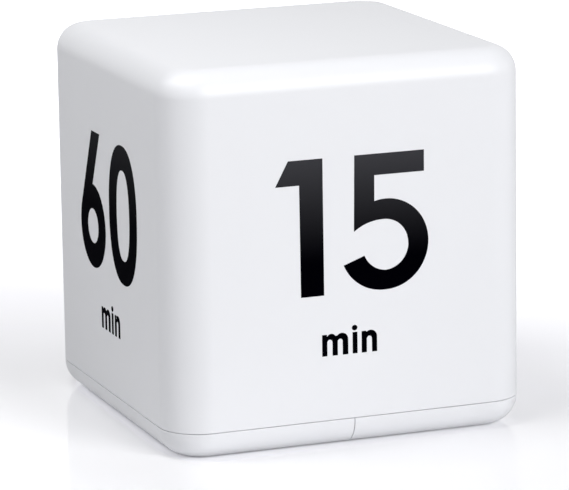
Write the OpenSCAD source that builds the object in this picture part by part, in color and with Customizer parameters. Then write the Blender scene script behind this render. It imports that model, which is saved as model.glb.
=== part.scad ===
// Cube timer: it runs for the time printed on whichever side is turned up.
// Origin at the middle of the underside, +Z up, front at -Y, battery door in the half at +X.

/* [Cube] */
// Width and depth of the cube
cube_w = 64; // [58:0.5:80]
// Height of the cube
cube_h = 65; // [50:0.5:80]
// Radius of the four upright edges
edge_r = 7.2; // [6:0.1:9]
// Radius of the edges round the top
top_r = 4.5; // [3:0.1:6]
// Radius of the edges round the underside
base_r = 4.7; // [3:0.1:4.7]
// Wall of the housing
wall = 2; // [1.7:0.1:2.2]
// Height of the lower rim of the shell
base_h = 5.05; // [5.05:0.05:6]
// Open line at the seam and at the split
seam_gap = 0.25; // [0.15:0.05:0.3]

/* [Fits] */
// Clearance round pieces that slide
slide_clear = 0.25; // [0.15:0.05:0.3]
// Clearance round pieces that plug together
fit_clear = 0.15; // [0.1:0.05:0.2]
// Clearance round pins and posts
pin_clear = 0.05; // [0.03:0.01:0.1]

/* [Base and door] */
// Floor of the battery door
door_t = 1.8; // [1.4:0.1:2]
// Reach of the door's rails, as a share of the space beside the battery bay
rail_share = 0.43; // [0.3:0.01:0.45]
// Height of those rails
rail_t = 1.1; // [0.8:0.1:1.2]
// Length of one rail
rail_l = 5; // [4:0.5:7]
// Length of the tongue along the door's inner edge
tongue_l = 46; // [30:1:50]
// Thickness of the tongue
tongue_t = 0.6; // [0.5:0.05:0.8]
// Reach of the tongue into the base
tongue_reach = 1; // [0.6:0.1:1.2]
// Grip grooves in the underside of the door
grip_count = 6; // [3:1:7]
// Width of a grip groove
grip_w = 1; // [0.6:0.1:1.2]
// Length of a grip groove
grip_l = 16; // [10:1:22]
// Depth of a grip groove
grip_depth = 0.6; // [0.3:0.1:0.8]
// Height of the lip that enters the shell
lip_h = 2.6; // [2.2:0.1:4]
// Thickness of that lip
lip_t = 0.85; // [0.7:0.05:1]
// Upper plate of the base over the door
flange_t = 1.2; // [1:0.1:1.6]
// Height of a snap ridge on the lip
ridge_h = 0.4; // [0.2:0.05:0.45]
// Length of a snap ridge
ridge_l = 12; // [6:0.5:20]

/* [Battery bay] */
// Diameter of a cell
cell_d = 10.5; // [10:0.1:10.7]
// Length of a cell with its nub
cell_len = 44.5; // [43.5:0.1:44.7]
// Diameter of the nub
nub_d = 3.8; // [3.4:0.1:4.4]
// Height of the nub
nub_h = 0.9; // [0.7:0.1:1.2]
// Clearance round a cell
cell_clear = 0.3; // [0.2:0.05:0.4]
// Gap between the cells and the door
cell_lift = 0.4; // [0.3:0.05:0.8]
// Rib between the cells
bay_rib = 0.6; // [0.5:0.05:1]
// Wall of the bay
bay_wall = 1.2; // [1:0.1:1.2]
// Sheet of the contacts
contact_t = 0.4; // [0.3:0.05:0.5]
// Width and height of a contact plate
contact_w = 8.6; // [7:0.1:9]
// Height of the pressed button on a contact
button_h = 0.5; // [0.3:0.05:0.6]
// Width of a soldering tab
tab_w = 3; // [2:0.1:4]
// Height of a soldering tab over the bay
tab_h = 2.4; // [2:0.1:4]
// Squeezed height of a battery spring
spring_h = 5; // [4.5:0.1:5.2]
// Wire of a battery spring
spring_wire = 0.6; // [0.5:0.05:0.7]
// Radius of the spring at the plate
spring_r1 = 3.6; // [3.2:0.1:3.8]
// Radius of the spring at the cell
spring_r2 = 2.2; // [1.8:0.1:2.6]
// Curls of the spring
spring_curls = 3; // [2:1:3]

/* [Display] */
// Width of the display glass
lcd_w = 16; // [14:0.5:17]
// Length of the display glass
lcd_l = 28; // [24:0.5:31]
// Thickness of one sheet of glass
lcd_t = 1.1; // [0.7:0.1:1.2]
// Ledge of the front glass that carries the tracks
lcd_ledge = 3; // [2.6:0.1:4]
// Reflecting film behind the glass
film_t = 0.2; // [0.15:0.05:0.4]
// Rubber strip between glass and board
zebra_t = 2; // [1.5:0.1:2.2]
// Width of the window
window_w = 11; // [9:0.5:12]
// Length of the window
window_l = 24; // [20:0.5:25]
// Thickness of the window
window_t = 1; // [0.8:0.1:1.1]
// Depth of the window below the underside
window_set = 0.2; // [0.1:0.05:0.3]
// Ledge that the window rests on
window_ledge = 1; // [0.8:0.1:1.5]
// Height of the ribs round the glass
lcd_rib_h = 2; // [1.5:0.1:2.5]
// Thickness of those ribs
lcd_rib_t = 1; // [0.8:0.1:1.2]
// Space between the switch, the display and the buzzer
row_gap = 0.5; // [0.3:0.1:0.6]

/* [Board] */
// Thickness of the circuit board
board_t = 1.2; // [1:0.1:1.6]
// Space between the board and the walls
board_margin = 1.5; // [1.2:0.1:2.5]
// Space between the board's ends and the walls
board_end = 4.5; // [4:0.1:5]
// Height of the board over the floor
standoff_h = 5.2; // [5:0.1:6]
// Diameter of a screw boss
boss_d = 4; // [3.8:0.1:4.4]
// Distance of the screws from the board's edges
boss_in = 2.4; // [2.2:0.1:2.6]
// Shank of a board screw
screw_d = 1.8; // [1.6:0.1:2]
// Length of a board screw under its head
screw_l = 5; // [4:0.1:5.5]
// Head of a board screw
screw_head_d = 3.6; // [3.2:0.1:3.8]
// Height of that head
screw_head_h = 1.2; // [1:0.1:1.5]
// Diameter of the sealed chip
blob_d = 8.4; // [7:0.1:8.6]
// Height of the sealed chip
blob_h = 1.6; // [1.2:0.1:2]
// Diameter of the coil that drives the buzzer
coil_d = 5; // [4:0.1:5.5]
// Height of that coil
coil_h = 6; // [5:0.1:8]
// Diameter of the timing crystal
crystal_d = 2; // [1.8:0.1:2.2]
// Length of the timing crystal
crystal_l = 6; // [5:0.1:6.2]
// Length of a small capacitor
cap_l = 2; // [1.6:0.1:2]
// Width of a small capacitor
cap_w = 1.25; // [0.8:0.05:1.3]
// Height of a small capacitor
cap_h = 1; // [0.6:0.1:1.2]
// Length of a small resistor
res_l = 1.6; // [1:0.1:1.6]
// Width of a small resistor
res_w = 0.8; // [0.5:0.05:0.85]
// Height of a small resistor
res_h = 0.5; // [0.3:0.05:0.6]
// Space between small parts on the board
part_gap = 0.9; // [0.6:0.1:1]
// Small resistors on the board
resistor_count = 6; // [3:1:6]
// Small capacitors on the board
capacitor_count = 4; // [2:1:5]

/* [Power switch] */
// Way that the switch slides
switch_travel = 2; // [1.5:0.1:2.5]
// Length of the switch case
switch_l = 8.6; // [8.2:0.1:9]
// Width of the switch case
switch_w = 4.4; // [4:0.1:4.8]
// Height of the switch case
switch_h = 3.4; // [3.2:0.1:3.6]
// Sheet of the switch case
switch_t = 0.4; // [0.3:0.05:0.5]
// Plate that closes the switch case
switch_base_t = 0.8; // [0.6:0.1:1]
// Post of the switch slider
post_w = 1.5; // [1.2:0.1:1.7]
// Length of the knob
knob_l = 4.6; // [4.4:0.1:5.2]
// Width of the knob
knob_w = 4; // [3.4:0.1:4.6]
// Plate of the knob
knob_t = 0.7; // [0.5:0.05:0.8]
// Depth of the pocket round the knob
knob_pocket = 1.2; // [1.1:0.05:1.3]
// Width of the knob's stem
stem_w = 2.8; // [2.6:0.1:3]
// Diameter of a switch pin
switch_pin_d = 0.7; // [0.5:0.05:0.8]
// Distance between switch pins
switch_pin_step = 2.5; // [2:0.1:2.54]

/* [Buzzer] */
// Diameter of the buzzer
buzzer_d = 12; // [10:0.1:12.5]
// Wall of the buzzer
buzzer_t = 0.8; // [0.6:0.1:1]
// Gap between the buzzer and the floor
buzzer_lift = 0.3; // [0.2:0.05:0.5]
// Sounding disc
disc_t = 0.3; // [0.2:0.05:0.4]
// Ceramic layer on the disc
ceramic_t = 0.2; // [0.15:0.05:0.3]
// Diameter of a buzzer pin
buzzer_pin_d = 0.6; // [0.5:0.05:0.7]
// Distance between buzzer pins
buzzer_pin_step = 6.5; // [5:0.1:7]
// Sound holes round the middle one
sound_holes = 6; // [4:1:8]
// Diameter of a sound hole
sound_hole_d = 1.4; // [1:0.1:1.6]
// Radius of the ring of sound holes
sound_ring_r = 3.2; // [2.6:0.1:4]

/* [Tilt switches] */
// Diameter of a tilt switch
tilt_d = 5; // [4.6:0.1:5.2]
// Length of a tilt switch
tilt_l = 9; // [8.5:0.1:9.5]
// Sheet of a tilt switch
tilt_t = 0.3; // [0.2:0.05:0.4]
// Plug that closes it
tilt_plug_t = 1.5; // [1:0.1:1.8]
// Diameter of its ball
tilt_ball_d = 3.4; // [3:0.1:3.6]
// Diameter of its wires
tilt_wire_d = 0.6; // [0.5:0.05:0.7]
// Distance between its wires
tilt_wire_step = 2.2; // [1.8:0.1:2.4]
// Distance of the wires' bend from the plug
tilt_bend = 1.2; // [1:0.1:1.3]
// Reach of the wires into the can
tilt_reach = 0.6; // [0.4:0.1:0.8]

/* [Leads] */
// Diameter of a battery lead
lead_d = 1.2; // [1:0.05:1.4]
// Distance between the pads of the leads
lead_step = 3; // [2.5:0.1:3.5]
// Rise of a lead over its pad
lead_rise = 11; // [9:0.5:13]

/* [Hidden] */
$fn = 48;
half = cube_w / 2;
in_half = half - wall;
in_r = edge_r - wall;
foot_in = base_r - wall;
split = seam_gap / 2;
far = cube_w + cube_h;
door_top = base_h - seam_gap;
lip_half = in_half + lip_t;
lip_r = in_r + lip_t;
lip_top = base_h + lip_h;
deck_half = in_half - slide_clear;
deck_r = in_r - slide_clear;
deck_z = door_t + slide_clear;
tongue_z = (door_t - tongue_t) / 2;

trough_r = cell_d / 2 + cell_clear;
cell_pitch = 2 * trough_r + bay_rib;
bay_x = in_half / 2;
bay_half_w = cell_pitch / 2 + trough_r;
bay_half = (2 * contact_t + spring_h + cell_len + button_h) / 2;
cell_z = door_t + cell_lift + cell_d / 2;
bay_top = cell_z + trough_r + bay_wall;
near_x = bay_x - cell_pitch / 2;
far_x = bay_x + cell_pitch / 2;
rail_w = rail_share * (in_half - bay_half);
groove_y = in_half - rail_w - slide_clear;
groove_z = door_top - rail_t - slide_clear;

tray_x = -(in_half + wall) / 2;
board_half_w = (in_half - wall) / 2 - board_margin;
board_half_l = in_half - board_end;
board_z = wall + standoff_h;
board_top = board_z + board_t;
boss_x = board_half_w - boss_in;
boss_y = board_half_l - boss_in;
lcd_bed_w = lcd_w + 2 * (fit_clear + lcd_rib_t);
lcd_bed_l = lcd_l + 2 * (fit_clear + lcd_rib_t);
row_half = (switch_w + lcd_bed_l + buzzer_d) / 2 + row_gap;
switch_y = switch_w / 2 - row_half;
buzzer_y = row_half - buzzer_d / 2;
lcd_y = switch_w + row_gap + lcd_bed_l / 2 - row_half;
window_x = tray_x - lcd_ledge / 2;
zebra_x = tray_x + lcd_w / 2 - lcd_ledge / 2;
switch_x0 = tray_x - switch_travel / 2;
slider_l = switch_l - 2 * switch_t - switch_travel - 2 * slide_clear;
slider_z = board_z - switch_h + switch_t + slide_clear;
stem_top = board_z - switch_h - slide_clear;
knob_z = knob_pocket - slide_clear;
buzzer_z = wall + buzzer_lift;
disc_z = buzzer_z + (board_z - buzzer_z) / 2;
disc_r = buzzer_d / 2 - buzzer_t - fit_clear;
tilt_z = board_top + tilt_d / 2 + pin_clear;
tilt_in = tilt_d / 2 - tilt_t;
tilt_side = tilt_wire_step / 2 + tilt_wire_d / 2 + row_gap;
left_y = buzzer_y - buzzer_d / 2 - tilt_side;
right_y = left_y - tilt_side - tilt_d / 2;
front_y = left_y - tilt_d / 2 - row_gap - tilt_wire_d / 2 - tilt_bend;
back_y = right_y - tilt_d / 2 - row_gap - tilt_l;
lead_x = tray_x + boss_x;
lead_y = screw_head_d + lead_d - boss_y;

// Section of a wall from a corner's axis outwards, rounded at its foot and crown
module edge_section(reach, h, foot, crown) {
    translate([0, foot]) square([reach, h - foot - crown]);
    if (foot > 0) {
        square([reach - foot, foot]);
        translate([reach - foot, foot]) intersection() {
            circle(foot);
            translate([0, -foot]) square(foot);
        }
    }
    if (crown > 0) {
        translate([0, h - crown]) square([reach - crown, crown]);
        translate([reach - crown, h - crown]) intersection() {
            circle(crown);
            square(crown);
        }
    }
}

// Block with rounded upright edges, whose foot and crown are rounded all the way round
module round_block(side, r, z0, z1, foot, crown) {
    run = side - r;
    translate([-run, -run, z0]) cube([2 * run, 2 * run, z1 - z0]);
    for (k = [0:3]) rotate(90 * k) {
        translate([run, run, z0]) rotate_extrude(angle = 90) edge_section(r, z1 - z0, foot, crown);
        translate([run, run, z0]) rotate([90, 0, 0])
            linear_extrude(2 * run) edge_section(r, z1 - z0, foot, crown);
    }
}

// Plate with rounded upright edges
module round_plate(side, r, z0, z1) {
    translate([0, 0, z0]) linear_extrude(z1 - z0) {
        square([2 * side, 2 * (side - r)], center = true);
        square([2 * (side - r), 2 * side], center = true);
        for (x = [-1, 1], y = [-1, 1]) translate([x * (side - r), y * (side - r)]) circle(r);
    }
}

// Box centred in X and Y on a point
module box(x, y, z0, w, l, h) {
    translate([x - w / 2, y - l / 2, z0]) cube([w, l, h]);
}

// Keeps what lies beyond x towards +X
module east(x) {
    intersection() {
        union() children();
        translate([x, -far, -far]) cube(2 * far);
    }
}

// Keeps what lies beyond x towards -X
module west(x) {
    intersection() {
        union() children();
        translate([x - 2 * far, -far, -far]) cube(2 * far);
    }
}

// Snap ridge on the four sides of the lip; grow turns it into its pocket
module snap_ridges(grow) {
    for (k = [0:3]) rotate(90 * k) translate([lip_half, 0, base_h + lip_h / 2]) rotate([90, 0, 0])
        linear_extrude(ridge_l + 2 * grow, center = true)
            polygon([[-0.3, -1.5 * ridge_h - grow], [ridge_h + grow, 0], [-0.3, 1.5 * ridge_h + grow]]);
}

// Places a child at each screw of the board
module at_screws() {
    for (x = [-1, 1], y = [-1, 1]) translate([tray_x + x * boss_x, y * boss_y, 0]) children();
}

// Places a child at each pin of the slide switch
module at_switch_pins() {
    for (k = [-1:1]) translate([tray_x + k * switch_pin_step, switch_y, 0]) children();
}

// Places a child at each pin of the buzzer
module at_buzzer_pins() {
    for (k = [-1, 1]) translate([tray_x + k * buzzer_pin_step / 2, buzzer_y, 0]) children();
}

// Places a child at the plug of tilt switch k, with +X along its can: left, right, front, back
module at_tilt(k) {
    butt = 2 * tilt_bend / 3;
    side = (lcd_w - lcd_ledge + zebra_t) / 2 + tilt_side;
    x = [-butt, butt, 0.8 * (tilt_d / 2 - board_half_w), side][k];
    y = [left_y, right_y, front_y, back_y][k];
    translate([tray_x + x, y, tilt_z]) rotate([180, 0, 270, 90][k]) children();
}

// Cut for one cell, open downwards
module trough(x) {
    translate([x, bay_half, cell_z]) rotate([90, 0, 0]) linear_extrude(2 * bay_half) {
        circle(trough_r);
        translate([-trough_r, -far]) square([2 * trough_r, far]);
    }
}

// Slot for a contact plate of width w at the end of the bay that y points to
module contact_slot(x, w, y) {
    top = cell_z + contact_w / 2 + fit_clear;
    box(x, y * (bay_half - contact_t / 2), -1, w + 2 * fit_clear, contact_t, top + 1);
}

function unit(v) = v / norm(v);
function heading(p, i) = unit(p[min(i + 1, len(p) - 1)] - p[max(i - 1, 0)]);
function squared(r, t) = unit(r - (r * t) * t);
function sides(p, r0) = [for (i = 0, r = squared(r0, heading(p, 0)); i < len(p);
    i = i + 1, r = i < len(p) ? squared(r, heading(p, i)) : r) r];
function rings(p, d, n, s) = [for (i = [0:len(p) - 1], k = [0:n - 1])
    p[i] + d / 2 * (s[i] * cos(360 * k / n) + cross(heading(p, i), s[i]) * sin(360 * k / n))];
function skin(m, n) = [for (i = [0:m - 2], k = [0:n - 1], h = [0, 1])
    h == 0 ? [i * n + k, i * n + n + k, i * n + (k + 1) % n]
        : [i * n + (k + 1) % n, i * n + n + k, i * n + n + (k + 1) % n]];
function caps(m, n) = [for (k = [1:n - 2], h = [0, 1])
    h == 0 ? [0, k, k + 1] : [(m - 1) * n, (m - 1) * n + k + 1, (m - 1) * n + k]];

// One unbroken tube along the points of a route
module tube(p, d, n, r0) {
    polyhedron(points = rings(p, d, n, sides(p, r0)), faces = concat(skin(len(p), n), caps(len(p), n)));
}

// Route of a battery spring along +Y: its ends stand square for one wire
function spring_route() = let(steps = 8 * spring_curls, run = spring_h - 2 * spring_wire)
    concat([[spring_r1, 0, 0]],
        [for (i = [0:steps]) let(t = i / steps, r = spring_r1 + (spring_r2 - spring_r1) * t, a = 45 * i)
            [r * cos(a), spring_wire + run * t, r * sin(a)]],
        [[spring_r2, spring_h, 0]]);
function least_gap(p, d) = min([for (i = [0:len(p) - 7], j = [i + 6:len(p) - 1]) norm(p[i] - p[j])]) - d;

// Points of a smooth bend that leaves a along u and comes to b along v
function bend(a, u, b, v) = [for (i = [0:14]) let(t = i / 14, s = 1 - t)
    s * s * s * a + 3 * s * s * t * (a + u) + 3 * s * t * t * (b + v) + t * t * t * b];

// Route of a lead from a tab to its pad: its ends stand square for half a wire
function lead_route(a, b, out) = let(square_off = lead_d / 2) concat([a],
    bend(a + [0, square_off, 0], [0, out, out / 6], b + [0, 0, square_off], [0, 0, lead_rise]), [b]);

// Housing of the top and the four printed sides
module case_shell() {
    color("#f2f3f5") difference() {
        round_block(half, edge_r, base_h, cube_h, 0, top_r);
        round_block(in_half, in_r, base_h - 1, cube_h - wall, 0, top_r - wall);
        round_plate(lip_half + fit_clear, lip_r + fit_clear, base_h - 1, lip_top);
        snap_ridges(fit_clear);
    }
}

// Half tray under the electronics and deck over the battery door, before openings
module base_frame() {
    difference() {
        union() {
            west(-split) round_block(half, edge_r, 0, door_top, base_r, 0);
            west(-split) round_plate(lip_half, lip_r, door_top - 1, lip_top);
            east(-wall) round_block(deck_half, deck_r, deck_z, base_h, foot_in - slide_clear, 0);
            east(-wall) round_plate(lip_half, lip_r, base_h, lip_top);
        }
        west(-wall) round_block(in_half, in_r, wall, lip_top + 1, foot_in, 0);
        round_plate(in_half, in_r, base_h + flange_t, lip_top + 1);
    }
    snap_ridges(0);
    box(bay_x, 0, deck_z, 2 * (bay_half_w + bay_wall), 2 * (bay_half + bay_wall), bay_top - deck_z);
    at_screws() translate([0, 0, wall / 2]) cylinder(d = boss_d, h = board_z - wall / 2);
    difference() {
        box(tray_x, lcd_y, wall / 2, lcd_bed_w, lcd_bed_l, wall / 2 + lcd_rib_h);
        box(tray_x, lcd_y, wall, lcd_w + 2 * fit_clear, lcd_l + 2 * fit_clear, lcd_rib_h + 1);
    }
}

// Base of the housing with its half tray, deck and battery bay
module base_cover() {
    color("#eceef0") difference() {
        base_frame();
        trough(near_x);
        trough(far_x);
        contact_slot(near_x, contact_w, -1);
        contact_slot(far_x, contact_w, -1);
        contact_slot(bay_x, contact_w + cell_pitch, 1);
        for (x = [near_x, far_x]) box(x, -(bay_half - contact_t / 2), cell_z, tab_w + 2 * fit_clear,
            contact_t, far);
        for (y = [-1, 1]) box(half, y * (groove_y + far / 2), groove_z, 2 * half, far, base_h - groove_z);
        box(0, 0, tongue_z - fit_clear, 2 * (tongue_reach + fit_clear), tongue_l + 2 * slide_clear,
            tongue_t + 2 * fit_clear);
        at_screws() translate([0, 0, board_z - screw_l - 0.2 + board_t])
            cylinder(d = screw_d + 2 * pin_clear, h = screw_l);
        box(window_x, lcd_y, -1, window_w + 2 * fit_clear, window_l + 2 * fit_clear,
            1 + window_t + window_set);
        box(window_x, lcd_y, -1, window_w - 2 * window_ledge, window_l - 2 * window_ledge, far);
        box(tray_x, switch_y, -1, knob_l + switch_travel + 2 * slide_clear,
            knob_w + 2 * slide_clear, 1 + knob_pocket);
        box(tray_x, switch_y, -1, stem_w + switch_travel + 2 * slide_clear,
            stem_w + 2 * slide_clear, wall + 2);
        translate([tray_x, buzzer_y, -1]) cylinder(d = sound_hole_d, h = wall + 2);
        for (k = [1:sound_holes]) translate([tray_x, buzzer_y, -1]) rotate(360 * k / sound_holes)
            translate([sound_ring_r, 0, 0]) cylinder(d = sound_hole_d, h = wall + 2);
    }
}

// Half of the underside that slides off over the cells
module battery_door() {
    rail_step = (half - edge_r - 2 - rail_l) / 2;
    color("#f0f1f3") {
        difference() {
            east(split) round_block(half, edge_r, 0, door_top, base_r, 0);
            round_block(in_half, in_r, door_t, base_h + 1, foot_in, 0);
            for (k = [0:grip_count - 1]) box(half - base_r - grip_w - 2 * grip_w * k, 0, -1,
                grip_w, grip_l, 1 + grip_depth);
        }
        for (k = [0:2], y = [-1, 1]) translate([1 + rail_step * k, 0, door_top - rail_t])
            if (y < 0) translate([0, -in_half - wall / 2, 0]) cube([rail_l, wall / 2 + rail_w, rail_t]);
            else translate([0, in_half - rail_w, 0]) cube([rail_l, wall / 2 + rail_w, rail_t]);
        box(0, 0, tongue_z, 2 * tongue_reach, tongue_l, tongue_t);
    }
}

// Clear window over the display
module display_window() {
    color("#cfd8dc") box(window_x, lcd_y, window_set, window_w, window_l, window_t);
}

// Lower sheet of the display, with the ledge for its tracks
module display_front_glass() {
    color("#b7c4b4") box(tray_x, lcd_y, wall, lcd_w, lcd_l, lcd_t);
}

// Upper sheet of the display
module display_rear_glass() {
    color("#a9b6a6") box(window_x, lcd_y, wall + lcd_t, lcd_w - lcd_ledge, lcd_l, lcd_t);
}

// Reflecting film on the upper sheet
module display_film() {
    color("#c8ccd0") box(window_x, lcd_y, wall + 2 * lcd_t, lcd_w - lcd_ledge - 1, lcd_l - 1, film_t);
}

// Rubber strip that carries the tracks of the display up to the board
module display_strip() {
    color("#d98c9a") box(zebra_x, lcd_y, wall + lcd_t, zebra_t, lcd_l - 2, standoff_h - lcd_t);
}

// Circuit board with its holes
module circuit_board() {
    color("#2f6b3c") difference() {
        box(tray_x, 0, board_z, 2 * board_half_w, 2 * board_half_l, board_t);
        at_screws() translate([0, 0, board_z - 1]) cylinder(d = screw_d + 2 * fit_clear, h = board_t + 2);
        at_switch_pins() translate([0, 0, board_z - 1])
            cylinder(d = switch_pin_d + 2 * pin_clear, h = board_t + 2);
        at_buzzer_pins() translate([0, 0, board_z - 1])
            cylinder(d = buzzer_pin_d + 2 * pin_clear, h = board_t + 2);
        for (k = [0:3], y = [-1, 1]) at_tilt(k) translate([-tilt_bend, y * tilt_wire_step / 2, -far])
            cylinder(d = tilt_wire_d + 2 * pin_clear, h = far);
    }
}

// Screws that hold the board on its bosses
module board_screws() {
    color("#b9bcc0") at_screws() difference() {
        union() {
            translate([0, 0, board_top - screw_l]) cylinder(d = screw_d, h = screw_l);
            translate([0, 0, board_top]) cylinder(d = screw_head_d, h = screw_head_h);
        }
        for (a = [0, 90]) rotate(a) box(0, 0, board_top + screw_head_h / 2, 2.2, 0.5, screw_head_h);
    }
}

// Chip under its drop of resin
module sealed_chip() {
    ball_r = (blob_d * blob_d / 4 + blob_h * blob_h) / (2 * blob_h);
    color("#1c1d1f") translate([tray_x, lcd_y, board_top]) intersection() {
        translate([0, 0, blob_h - ball_r]) sphere(ball_r);
        box(0, 0, 0, 2 * blob_d, 2 * blob_d, 2 * blob_h);
    }
}

// Can of the timing crystal with its two wires
module timing_crystal() {
    lie = board_top + crystal_d / 2 + pin_clear;
    color("#b4b8bb") translate([tray_x + crystal_d / 2, boss_d + 1.5 * crystal_d - boss_y, lie]) {
        rotate([0, 90, 0]) cylinder(d = crystal_d, h = crystal_l);
        for (y = [-1, 1]) translate([0, 0.35 * y, 0]) {
            translate([-1, 0, 0]) rotate([0, 90, 0]) cylinder(d = 0.35, h = 1.2);
            translate([-1, 0, 0]) sphere(d = 0.35);
            translate([-1, 0, -crystal_d / 2 - pin_clear]) cylinder(d = 0.35, h = crystal_d / 2 + pin_clear);
        }
    }
}

// Row of small capacitors
module capacitors() {
    color("#b08d62") for (k = [0:capacitor_count - 1])
        box(tray_x - (buzzer_pin_step + buzzer_pin_d) / 2 - part_gap - cap_l / 2,
            left_y + tilt_d / 2 + part_gap + (cap_w + part_gap) * k, board_top, cap_l, cap_w, cap_h);
}

// Row of small resistors
module resistors() {
    color("#26282b") for (k = [0:resistor_count - 1])
        box(tray_x + (buzzer_pin_step + buzzer_pin_d) / 2 + part_gap + res_l / 2,
            right_y + tilt_d / 2 + part_gap + (res_w + part_gap) * k, board_top, res_l, res_w, res_h);
}

// Wound coil between two cheeks
module drive_coil() {
    color("#3a2f2a") translate([tray_x - boss_x + coil_d / 2, 1.7 * coil_d - boss_y, board_top])
        rotate_extrude() {
            square([coil_d / 2, 1]);
            square([coil_d / 2 - 0.5, coil_h]);
            translate([0, coil_h - 1]) square([coil_d / 2, 1]);
        }
}

// Three-legged transistor
module drive_transistor() {
    color("#202124") translate([tray_x - coil_d / 2, 2 * coil_d - boss_y, board_top]) {
        box(0, 0, 0.1, 2.9, 1.3, 1);
        for (x = [-0.95, 0.95]) box(x, -1, 0, 0.4, 1, 0.3);
        box(0, 1, 0, 0.4, 1, 0.3);
    }
}

// Sheet case of the slide switch, open towards the board
module switch_case() {
    color("#c2c5c8") difference() {
        box(tray_x, switch_y, board_z - switch_h, switch_l, switch_w, switch_h);
        box(tray_x, switch_y, board_z - switch_h + switch_t, switch_l - 2 * switch_t,
            switch_w - 2 * switch_t, switch_h);
        box(tray_x, switch_y, board_z - switch_h - 1, post_w + switch_travel + 2 * slide_clear,
            post_w + 2 * slide_clear, 3);
    }
}

// Plate that closes the switch and holds its pins
module switch_base() {
    color("#6d4a2c") difference() {
        box(tray_x, switch_y, board_z - switch_base_t, switch_l - 2 * switch_t, switch_w - 2 * switch_t,
            switch_base_t);
        at_switch_pins() translate([0, 0, board_z - 2])
            cylinder(d = switch_pin_d + 2 * pin_clear, h = 4);
    }
}

// Pins of the slide switch
module switch_pins() {
    color("#cdbf8e") at_switch_pins() {
        translate([0, 0, board_z - switch_base_t])
            cylinder(d = switch_pin_d, h = switch_base_t + board_t + 0.8);
        translate([0, 0, board_z - switch_base_t - 0.15]) cylinder(d = switch_pin_d + 0.6, h = 0.15);
    }
}

// Slider inside the switch, with the post that the knob sits on
module switch_slider() {
    slider_h = board_z - switch_base_t - 0.15 - slide_clear - slider_z;
    color("#303236") {
        box(switch_x0, switch_y, slider_z, slider_l, switch_w - 2 * switch_t - 2 * slide_clear, slider_h);
        box(switch_x0, switch_y, knob_z + 0.3, post_w, post_w, slider_z - knob_z);
    }
}

// Knob in the pocket of the underside
module switch_knob() {
    color("#2a2b2e") difference() {
        union() {
            box(switch_x0, switch_y, knob_z - knob_t, knob_l, knob_w, knob_t);
            box(switch_x0, switch_y, knob_z - 0.1, stem_w, stem_w, stem_top - knob_z + 0.1);
        }
        box(switch_x0, switch_y, knob_z + 0.3, post_w + 2 * pin_clear, post_w + 2 * pin_clear, far);
        for (k = [-1:1]) box(switch_x0 + 1.2 * k, switch_y, -1, 0.5, knob_w - 1, 1 + knob_z - knob_t + 0.25);
    }
}

// Cup of the buzzer, with the step that its disc lies on
module buzzer_case() {
    color("#232427") translate([tray_x, buzzer_y, 0]) difference() {
        translate([0, 0, buzzer_z]) cylinder(d = buzzer_d, h = board_z - buzzer_z);
        translate([0, 0, buzzer_z + buzzer_t]) cylinder(r = disc_r - 0.8, h = far);
        translate([0, 0, disc_z]) cylinder(r = disc_r + fit_clear, h = far);
        cylinder(d = 2.4, h = board_z);
    }
}

// Brass disc of the buzzer
module buzzer_disc() {
    color("#c9a24a") translate([tray_x, buzzer_y, disc_z]) cylinder(r = disc_r, h = disc_t);
}

// Ceramic layer on the disc
module buzzer_ceramic() {
    color("#e4e0d4") translate([tray_x, buzzer_y, disc_z + disc_t]) cylinder(r = disc_r - 1, h = ceramic_t);
}

// Pins of the buzzer, from the ceramic through the board
module buzzer_pins() {
    z0 = disc_z + disc_t + ceramic_t;
    color("#c8cacc") at_buzzer_pins() translate([0, 0, z0])
        cylinder(d = buzzer_pin_d, h = board_top + 0.8 - z0);
}

// Cans of the four tilt switches
module tilt_cans() {
    color("#c7c9cb") for (k = [0:3]) at_tilt(k) rotate([0, 90, 0]) difference() {
        cylinder(d = tilt_d, h = tilt_l);
        translate([0, 0, -1]) cylinder(r = tilt_in, h = tilt_l - tilt_t + 1);
    }
}

// Plugs that close the cans
module tilt_plugs() {
    color("#2c2d30") for (k = [0:3]) at_tilt(k) rotate([0, 90, 0]) difference() {
        cylinder(r = tilt_in - pin_clear, h = tilt_plug_t);
        for (y = [-1, 1]) translate([0, y * tilt_wire_step / 2, -1])
            cylinder(d = tilt_wire_d + 2 * pin_clear, h = tilt_plug_t + 2);
    }
}

// Wires of the cans, bent down through the board
module tilt_wires() {
    drop = tilt_z - board_z + 0.8;
    color("#d4c48f") for (k = [0:3], y = [-1, 1]) at_tilt(k)
        translate([-tilt_bend, y * tilt_wire_step / 2, 0]) {
            rotate([0, 90, 0]) cylinder(d = tilt_wire_d, h = tilt_bend + tilt_plug_t + tilt_reach);
            sphere(d = tilt_wire_d);
            translate([0, 0, -drop]) cylinder(d = tilt_wire_d, h = drop);
        }
}

// Ball of tilt switch k, lying against its wires
module tilt_ball(k) {
    x = tilt_plug_t + tilt_reach + tilt_ball_d / 2 + pin_clear;
    color("#d9dbdd") at_tilt(k) translate([x, 0, tilt_ball_d / 2 + pin_clear - tilt_in])
        sphere(d = tilt_ball_d);
}

// One cell along +Y, its flat end at the origin
module cell() {
    r = cell_d / 2;
    rotate([-90, 0, 0]) rotate_extrude() polygon([[0, 0], [r - 0.9, 0], [r - 0.5, 0.3], [r, 0.8],
        [r, cell_len - nub_h - 0.6], [r - 0.5, cell_len - nub_h], [nub_d / 2, cell_len - nub_h],
        [nub_d / 2, cell_len - 0.2], [nub_d / 2 - 0.2, cell_len], [0, cell_len]]);
}

// Cell beside the middle of the cube, nub to the back
module near_cell() {
    color("#c9a227") translate([near_x, contact_t + spring_h - bay_half, cell_z]) cell();
}

// Cell at the outer side, nub to the front
module far_cell() {
    color("#c9a227") translate([far_x, bay_half - contact_t - spring_h, cell_z]) rotate(180) cell();
}

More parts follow.
